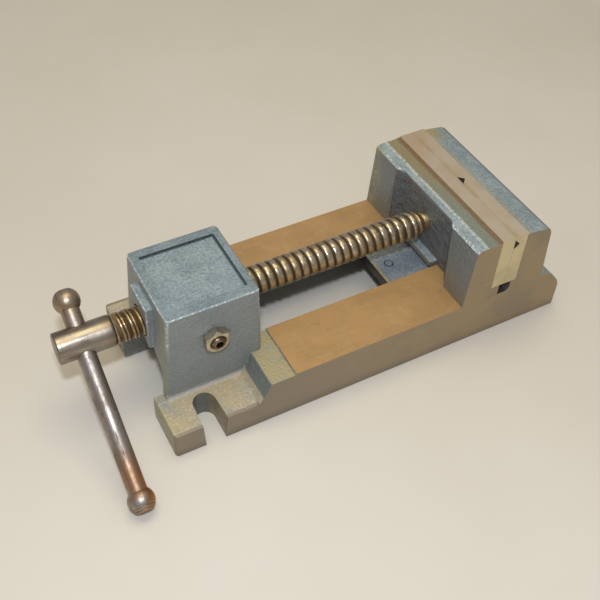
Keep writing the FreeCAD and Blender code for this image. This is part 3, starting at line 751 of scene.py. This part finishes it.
def crisp(node, name, body, material, width, segments=2, edge_material=None):
    """A machined or cast piece: the CAD shape with its edges rounded over, width in mm."""
    mesh = to_mesh(cad_copy(node), name)
    obj = link(mesh, name, material)
    mesh.shade_smooth()
    bevel = obj.modifiers.new("edge", "BEVEL")
    bevel.width = width * MM
    bevel.segments = segments
    bevel.limit_method = "ANGLE"
    bevel.angle_limit = math.radians(BEVEL_ANGLE)
    if edge_material:
        mesh.materials.append(edge_material)
        bevel.material = 1
    weighted = obj.modifiers.new("flat", "WEIGHTED_NORMAL")
    weighted.keep_sharp = True
    apply_modifiers(obj)
    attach(obj, body)
    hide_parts(node)


def revolved(profile, place, steps=TURNED_STEPS):
    """Turned solid from (distance along the axis, radius) pairs; place maps local X to the axis."""
    bm = bmesh.new()
    rings = []
    for along, radius in profile:
        ring = []
        for k in range(steps):
            a = 2 * math.pi * k / steps
            point = Vector((along, radius * math.cos(a), radius * math.sin(a)))
            ring.append(bm.verts.new(place @ point))
        rings.append(ring)
    for r0, r1 in zip(rings, rings[1:]):
        for k in range(steps):
            after = (k + 1) % steps
            bm.faces.new((r0[k], r0[after], r1[after], r1[k]))
    bm.faces.new(rings[0][::-1])
    bm.faces.new(rings[-1])
    bmesh.ops.remove_doubles(bm, verts=bm.verts, dist=TURNED_WELD)
    bmesh.ops.recalc_face_normals(bm, faces=bm.faces)
    return bm


def piece(bm, name, body, node, material, angle=SHARP_ANGLE):
    """An object that rides on a body and stands in for a CAD node."""
    mesh = to_mesh(bm, name)
    smooth(mesh, angle)
    obj = link(mesh, name, material)
    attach(obj, body)
    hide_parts(node)
    return obj


# ---------------------------------------------------------------- lead screw
THREAD_STEPS = 96
THREAD_SHARP_ANGLE = 60
# One thread, as (share of the pitch, share of the depth): narrow root, rounded flanks and crest.
THREAD_FORM = [(0.00, 0.12), (0.05, 0.22), (0.09, 0.44), (0.13, 0.64), (0.18, 0.79), (0.24, 0.89),
               (0.32, 0.96), (0.41, 0.99), (0.50, 1.0), (0.59, 0.99), (0.68, 0.96), (0.76, 0.89),
               (0.82, 0.79), (0.87, 0.64), (0.91, 0.44), (0.95, 0.22)]
FADE_IN = 0.8 * PITCH           # length over which the thread starts at the head
TAPER = 8.0 * MM                # length over which it tapers into the nose
TAPER_SHARE = 0.66              # what is left of its radius at the end of the taper
WOBBLE = 0.006                  # small unevenness, as a share of the radius
WOBBLE_ALONG = 300
WOBBLE_ROUND = 2
SECOND_GROOVE_X = -186.0 * MM   # a second groove runs along the crest from here to the head
SECOND_GROOVE_DEPTH = 0.55
SECOND_GROOVE_HALF = 0.10       # half its width, as a share of the pitch

HEAD_R = 8.3 * MM
HEAD_STRAIGHT = 26.2
HEAD_ROWS = 10
HEAD_STEPS = 96
# Turned edges of the head in mm, as (distance along the axis, drop below its radius).
HEAD_END_EDGE = [(0.0, 0.8), (0.12, 0.42), (0.4, 0.14), (0.8, 0.03), (1.5, 0.0)]
HEAD_SHOULDER = [(-0.9, 0.08), (-0.2, 0.5), (0.1, 0.9)]
HEAD_OVERLAP = 0.2 * MM         # how far the head runs into the thread's end
HOLE_R = 4.98 * MM
HOLE_REACH = 12 * MM            # half the cutter's length, more than the head's radius

NOSE_R = 5.0 * MM
NOSE_START = THREAD_X1 - 1.2 * MM
NOSE_START_R = 4.6 * MM
NOSE_GROOVE = (-17.5 * MM, -14.5 * MM)
NOSE_GROOVE_R = 3.5 * MM
NOSE_CHAMFER = 0.6 * MM
NOSE_STEPS = 72


def thread_radius(x, angle, share, depth):
    """Radius of the thread's surface at x, where the form has this share and depth."""
    if x < SECOND_GROOVE_X:
        depth -= SECOND_GROOVE_DEPTH * max(0.0, 1.0 - abs(share - 0.5) / SECOND_GROOVE_HALF)
    if x - THREAD_X0 < FADE_IN:
        depth = max(depth, 1.0 - (x - THREAD_X0) / FADE_IN)
    wobble = 1.0 - WOBBLE * (1 + noise.noise(Vector((x * WOBBLE_ALONG, angle * WOBBLE_ROUND, 0))))
    radius = (ROOT_R + (CREST_R - ROOT_R) * depth) * wobble
    left = (THREAD_X1 - x) / TAPER
    if left < 1.0:
        cone = NECK_R + (CREST_R - NECK_R) * left
        radius = min(cone, radius * (TAPER_SHARE + (1 - TAPER_SHARE) * left))
    return radius


def thread_mesh():
    """Right-hand thread as a sheared grid, so that each row of the form follows the helix.

    It starts two turns early and is clamped to its two ends, which makes them flat.
    """
    turns = int((THREAD_X1 - THREAD_X0) / PITCH) + 3
    bm = bmesh.new()
    columns = []
    for k in range(THREAD_STEPS + 1):
        a = 2 * math.pi * k / THREAD_STEPS
        column = []
        for t in range(turns):
            for share, depth in THREAD_FORM:
                x = THREAD_X0 + PITCH * (t - 2 + share + k / THREAD_STEPS)
                x = min(max(x, THREAD_X0), THREAD_X1)
                r = thread_radius(x, a, share, depth)
                column.append(bm.verts.new((x, r * math.cos(a), SCREW_Z + r * math.sin(a))))
        columns.append(column)
    for c0, c1 in zip(columns, columns[1:]):
        for i in range(len(c0) - 1):
            bm.faces.new((c0[i], c0[i + 1], c1[i + 1], c1[i]))
    bmesh.ops.remove_doubles(bm, verts=bm.verts, dist=THREAD_WELD)
    bmesh.ops.dissolve_degenerate(bm, edges=bm.edges, dist=THREAD_WELD)
    holes = [edge for edge in bm.edges if edge.is_boundary]
    bmesh.ops.holes_fill(bm, edges=holes, sides=0)
    bmesh.ops.recalc_face_normals(bm, faces=bm.faces)
    return bm


def head_outline():
    """Half section of the plain head, from its outer end to the thread."""
    x0 = SCREW_LOW.x
    outline = [(x0, AXIS_R)]
    outline += [(x0 + along * MM, HEAD_R - drop * MM) for along, drop in HEAD_END_EDGE]
    straight_from = HEAD_END_EDGE[-1][0]
    for row in range(1, HEAD_ROWS + 1):
        outline.append((x0 + (straight_from + HEAD_STRAIGHT * row / HEAD_ROWS) * MM, HEAD_R))
    outline += [(THREAD_X0 + along * MM, HEAD_R - drop * MM) for along, drop in HEAD_SHOULDER]
    outline.append((THREAD_X0 + HEAD_OVERLAP, AXIS_R))
    return outline


def nose_outline():
    """Half section of the nose, with the groove that the retaining pins run in."""
    end = SCREW_HIGH.x
    groove_from, groove_to = NOSE_GROOVE
    return [(NOSE_START, AXIS_R), (NOSE_START, NOSE_START_R), (THREAD_X1, NOSE_R),
            (groove_from, NOSE_R), (groove_from, NOSE_GROOVE_R),
            (groove_to, NOSE_GROOVE_R), (groove_to, NOSE_R),
            (end - NOSE_CHAMFER, NOSE_R), (end, NOSE_R - NOSE_CHAMFER), (end, AXIS_R)]


def lead_screw(material):
    """The thread, the head with the hole for the bar cut through it, and the nose."""
    piece(thread_mesh(), "lead_screw_thread", "screw", "lead_screw", material, THREAD_SHARP_ANGLE)

    centre = Matrix.Translation(Vector((0, 0, SCREW_Z)))
    bm = revolved(head_outline(), centre, HEAD_STEPS)
    head = piece(bm, "lead_screw_head", "screw", "lead_screw", material)
    drill = revolved([(-HOLE_REACH, HOLE_R), (HOLE_REACH, HOLE_R)], handle_axis())
    cutter = bpy.data.objects.new("cross_hole", to_mesh(drill, "cross_hole"))
    bpy.context.scene.collection.objects.link(cutter)
    cut = head.modifiers.new("hole", "BOOLEAN")
    cut.object = cutter
    cut.solver = "EXACT"
    apply_modifiers(head)
    smooth(head.data, SHARP_ANGLE)
    bpy.data.objects.remove(cutter)

    bm = revolved(nose_outline(), centre, NOSE_STEPS)
    piece(bm, "lead_screw_nose", "screw", "lead_screw", material)


# ---------------------------------------------------------------- handle
BAR_TILT = 32.0
BAR_R = 4.9 * MM
BAR_ROWS = 60
BAR_UNEVEN = 0.05 * MM          # depth of the bar's shallow unevenness
BAR_UNEVEN_SCALE = 90
BAR_OVERLAP = 1.5 * MM          # how far the bar runs on past the knobs' centres
UPPER_KNOB = -21.0 * MM         # knob centres, as distances along the bar from the screw's axis
LOWER_KNOB = 83.2 * MM
KNOB_R = 6.9 * MM
KNOB_ROWS = 40
GROOVE_HALF = 0.32 * MM         # half the width of a groove in a knob
GROOVE_DEPTH = 0.35 * MM
KNOB_SHARP_ANGLE = 50
# Each ball runs between two distances from its centre; the lower one has two grooves.
UPPER_BALL = (-5.9 * MM, 5.6 * MM)
LOWER_BALL = (-5.6 * MM, 5.4 * MM)
LOWER_GROOVES = (2.8 * MM, 4.2 * MM)
# Turned ends of the knobs, as (distance from the centre, radius).
DOMED_END = [(-5.9 * MM, AXIS_R), (-6.0 * MM, 2.6 * MM), (-5.9 * MM, 3.2 * MM)]
DISHED_END = [(5.5 * MM, 3.4 * MM), (5.2 * MM, 2.6 * MM), (5.2 * MM, AXIS_R)]


def handle_axis():
    """Turns local X into the bar's axis, with the origin on the screw's axis."""
    tilt = math.radians(BAR_TILT)
    along = Vector((0, -math.cos(tilt), -math.sin(tilt)))
    side = Vector((1, 0, 0))
    up = along.cross(side)
    centre = Vector((BAR_X, 0, SCREW_Z))
    return Matrix(((along.x, side.x, up.x, centre.x),
                   (along.y, side.y, up.y, centre.y),
                   (along.z, side.z, up.z, centre.z),
                   (0, 0, 0, 1)))


def ball_profile(from_x, to_x, grooves=()):
    """Turned ball between two faced ends, with shallow grooves at the given distances."""
    profile = []
    for k in range(KNOB_ROWS + 1):
        x = from_x + (to_x - from_x) * k / KNOB_ROWS
        r = math.sqrt(max(KNOB_R ** 2 - x ** 2, 0))
        for groove in grooves:
            if abs(x - groove) < GROOVE_HALF:
                r -= GROOVE_DEPTH
        profile.append((x, r))
    return profile


def handle_bar(place, material):
    """The bar, very slightly uneven along its length, with its ends inside the knobs."""
    start = UPPER_KNOB - BAR_OVERLAP
    end = LOWER_KNOB + BAR_OVERLAP
    profile = [(start, AXIS_R), (start, BAR_R)]
    for k in range(1, BAR_ROWS):
        x = UPPER_KNOB + (LOWER_KNOB - UPPER_KNOB) * k / BAR_ROWS
        swell = BAR_UNEVEN * noise.noise(Vector((x * BAR_UNEVEN_SCALE, 0, 0)))
        profile.append((x, BAR_R - BAR_UNEVEN + swell))
    profile += [(end, BAR_R), (end, AXIS_R)]
    bm = revolved(profile, place)
    piece(bm, "handle_bar_turned", "handle", "handle_bar", material)


def handle_knob(node, centre, profile, place, material):
    moved = [(x + centre, r) for x, r in profile]
    bm = revolved(moved, place)
    piece(bm, node + "_turned", "handle", node, material, KNOB_SHARP_ANGLE)


def handle(material):
    """The bar and its two ball ends, the upper domed and the lower grooved and dished."""
    place = handle_axis()
    handle_bar(place, material)

    ball = ball_profile(*UPPER_BALL)
    upper = DOMED_END + ball[1:] + [(UPPER_BALL[1], AXIS_R)]
    handle_knob("handle_knob_upper", UPPER_KNOB, upper, place, material)

    ball = ball_profile(*LOWER_BALL, LOWER_GROOVES)
    lower = [(LOWER_BALL[0], AXIS_R)] + ball + DISHED_END
    handle_knob("handle_knob_lower", LOWER_KNOB, lower, place, material)


# ---------------------------------------------------------------- the stage
VIEW_TARGET = Vector((-93.83, 20.04, 20.0)) * MM
VIEW_DISTANCE = 534.17 * MM
VIEW_BEARING = -30.09
VIEW_RISE = 45.49
VIEW_ROLL = 2.88
LENS = 55.1
LENS_SHIFT = (0.0088, -0.04)
LIGHT_TARGET = (-0.09, 0, 0.03)
WORLD_COLOUR = (1.0, 0.93, 0.94, 1.0)
WORLD_STRENGTH = 0.38
FLOOR_SIZE = 24.0
FLOOR_DROP = 0.2 * MM           # keeps the floor clear of the base's underside


def camera():
    """Camera at a bearing, rise and distance from a point on the base, with a little roll."""
    data = bpy.data.cameras.new("view")
    obj = bpy.data.objects.new("view", data)
    bpy.context.scene.collection.objects.link(obj)
    bearing = math.radians(VIEW_BEARING)
    rise = math.radians(VIEW_RISE)
    roll = math.radians(VIEW_ROLL)
    back = Vector((math.sin(bearing) * math.cos(rise), -math.cos(bearing) * math.cos(rise), math.sin(rise)))
    place = VIEW_TARGET + back * VIEW_DISTANCE
    level = (-back).cross(Vector((0, 0, 1))).normalized()
    above = level.cross(-back)
    right = level * math.cos(roll) + above * math.sin(roll)
    up = above * math.cos(roll) - level * math.sin(roll)
    obj.matrix_world = Matrix(((right.x, up.x, back.x, place.x),
                               (right.y, up.y, back.y, place.y),
                               (right.z, up.z, back.z, place.z),
                               (0, 0, 0, 1)))
    data.sensor_width = 36.0
    data.lens = LENS
    data.shift_x, data.shift_y = LENS_SHIFT
    data.clip_start = 0.01
    data.clip_end = 20.0
    bpy.context.scene.camera = obj


def softbox(name, place, size, watts, colour):
    """A rectangular area light aimed at the vise."""
    data = bpy.data.lights.new(name, "AREA")
    data.shape = "RECTANGLE"
    data.size, data.size_y = size
    data.energy = watts
    data.color = colour
    obj = bpy.data.objects.new(name, data)
    obj.location = place
    aim = Vector(LIGHT_TARGET) - Vector(place)
    obj.rotation_euler = aim.to_track_quat("-Z", "Y").to_euler()
    bpy.context.scene.collection.objects.link(obj)


def stage():
    """The bench, two area lights and a soft, even surrounding light."""
    bpy.ops.mesh.primitive_grid_add(x_subdivisions=8, y_subdivisions=8, size=FLOOR_SIZE)
    floor = bpy.context.object
    floor.name = "floor"
    floor.location.z = -FLOOR_DROP
    floor.data.materials.append(bench_material())
    softbox("front_light", place=(-0.2816, -0.304, 0.532), size=(0.035, 0.025), watts=1.9,
            colour=(0.78, 0.86, 1.0))
    softbox("top_light", place=(-0.12, 0.10, 1.20), size=(0.9, 0.6), watts=4.6,
            colour=(1.0, 0.92, 0.60))
    world = bpy.data.worlds.new("studio")
    bpy.context.scene.world = world
    world.use_nodes = True
    background = world.node_tree.nodes["Background"]
    background.inputs["Color"].default_value = WORLD_COLOUR
    background.inputs["Strength"].default_value = WORLD_STRENGTH
    bpy.context.scene.view_settings.view_transform = "Standard"


# ---------------------------------------------------------------- assembly
guide_finish = guide_material()
plate_finish = plate_material()
zinc = fastener_material("zinc_finish", srgb(214, 206, 184), srgb(178, 166, 140), 0.32)
black = fastener_material("black_oxide_finish", srgb(70, 66, 62), srgb(44, 42, 40), 0.42)
brown = fastener_material("set_screw_finish", srgb(138, 120, 100), srgb(92, 76, 60), 0.36)
bronze = fastener_material("bronze_finish", srgb(188, 150, 92), srgb(150, 112, 62), 0.34)
plain = fastener_material("plain_steel_finish", srgb(168, 164, 156), srgb(128, 122, 112), 0.36)

crisp("base_casting", "base_skin", "base", base_material(), width=0.7, segments=3,
      edge_material=base_material(edge=True))
crisp("moving_jaw", "moving_jaw_skin", "jaw", jaw_material(), width=0.6, segments=3,
      edge_material=jaw_material(edge=True))
crisp("guide_block", "guide_skin", "jaw", guide_finish, width=0.6, segments=3)
crisp("guide_pin", "guide_pin_end", "jaw", guide_finish, width=0.4)
crisp("fixed_jaw_plate", "fixed_plate_ground", "base", plate_finish, width=0.15)
crisp("moving_jaw_plate", "moving_plate_ground", "jaw", plate_finish, width=0.15)
crisp("nut_lock_nut", "lock_nut_zinc", "base", zinc, width=0.25)
crisp("nut_set_screw", "set_screw_brown", "base", brown, width=0.15)
crisp("spindle_nut", "spindle_nut_bronze", "base", bronze, width=0.3)
crisp("keeper_plate", "keeper_plate_steel", "jaw", plain, width=0.4)

# Pieces that the closed vise hides keep their CAD meshes and only take a finish.
for node, material in (("fixed_plate_screws", black), ("moving_plate_screws", black),
                       ("keeper_screws", black), ("keeper_washers", zinc),
                       ("screw_retaining_pins", plain), ("thrust_button", plain)):
    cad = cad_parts[node]
    cad.data.materials.clear()
    cad.data.materials.append(material)

lead_screw(screw_material())
handle(handle_material())
camera()
stage()
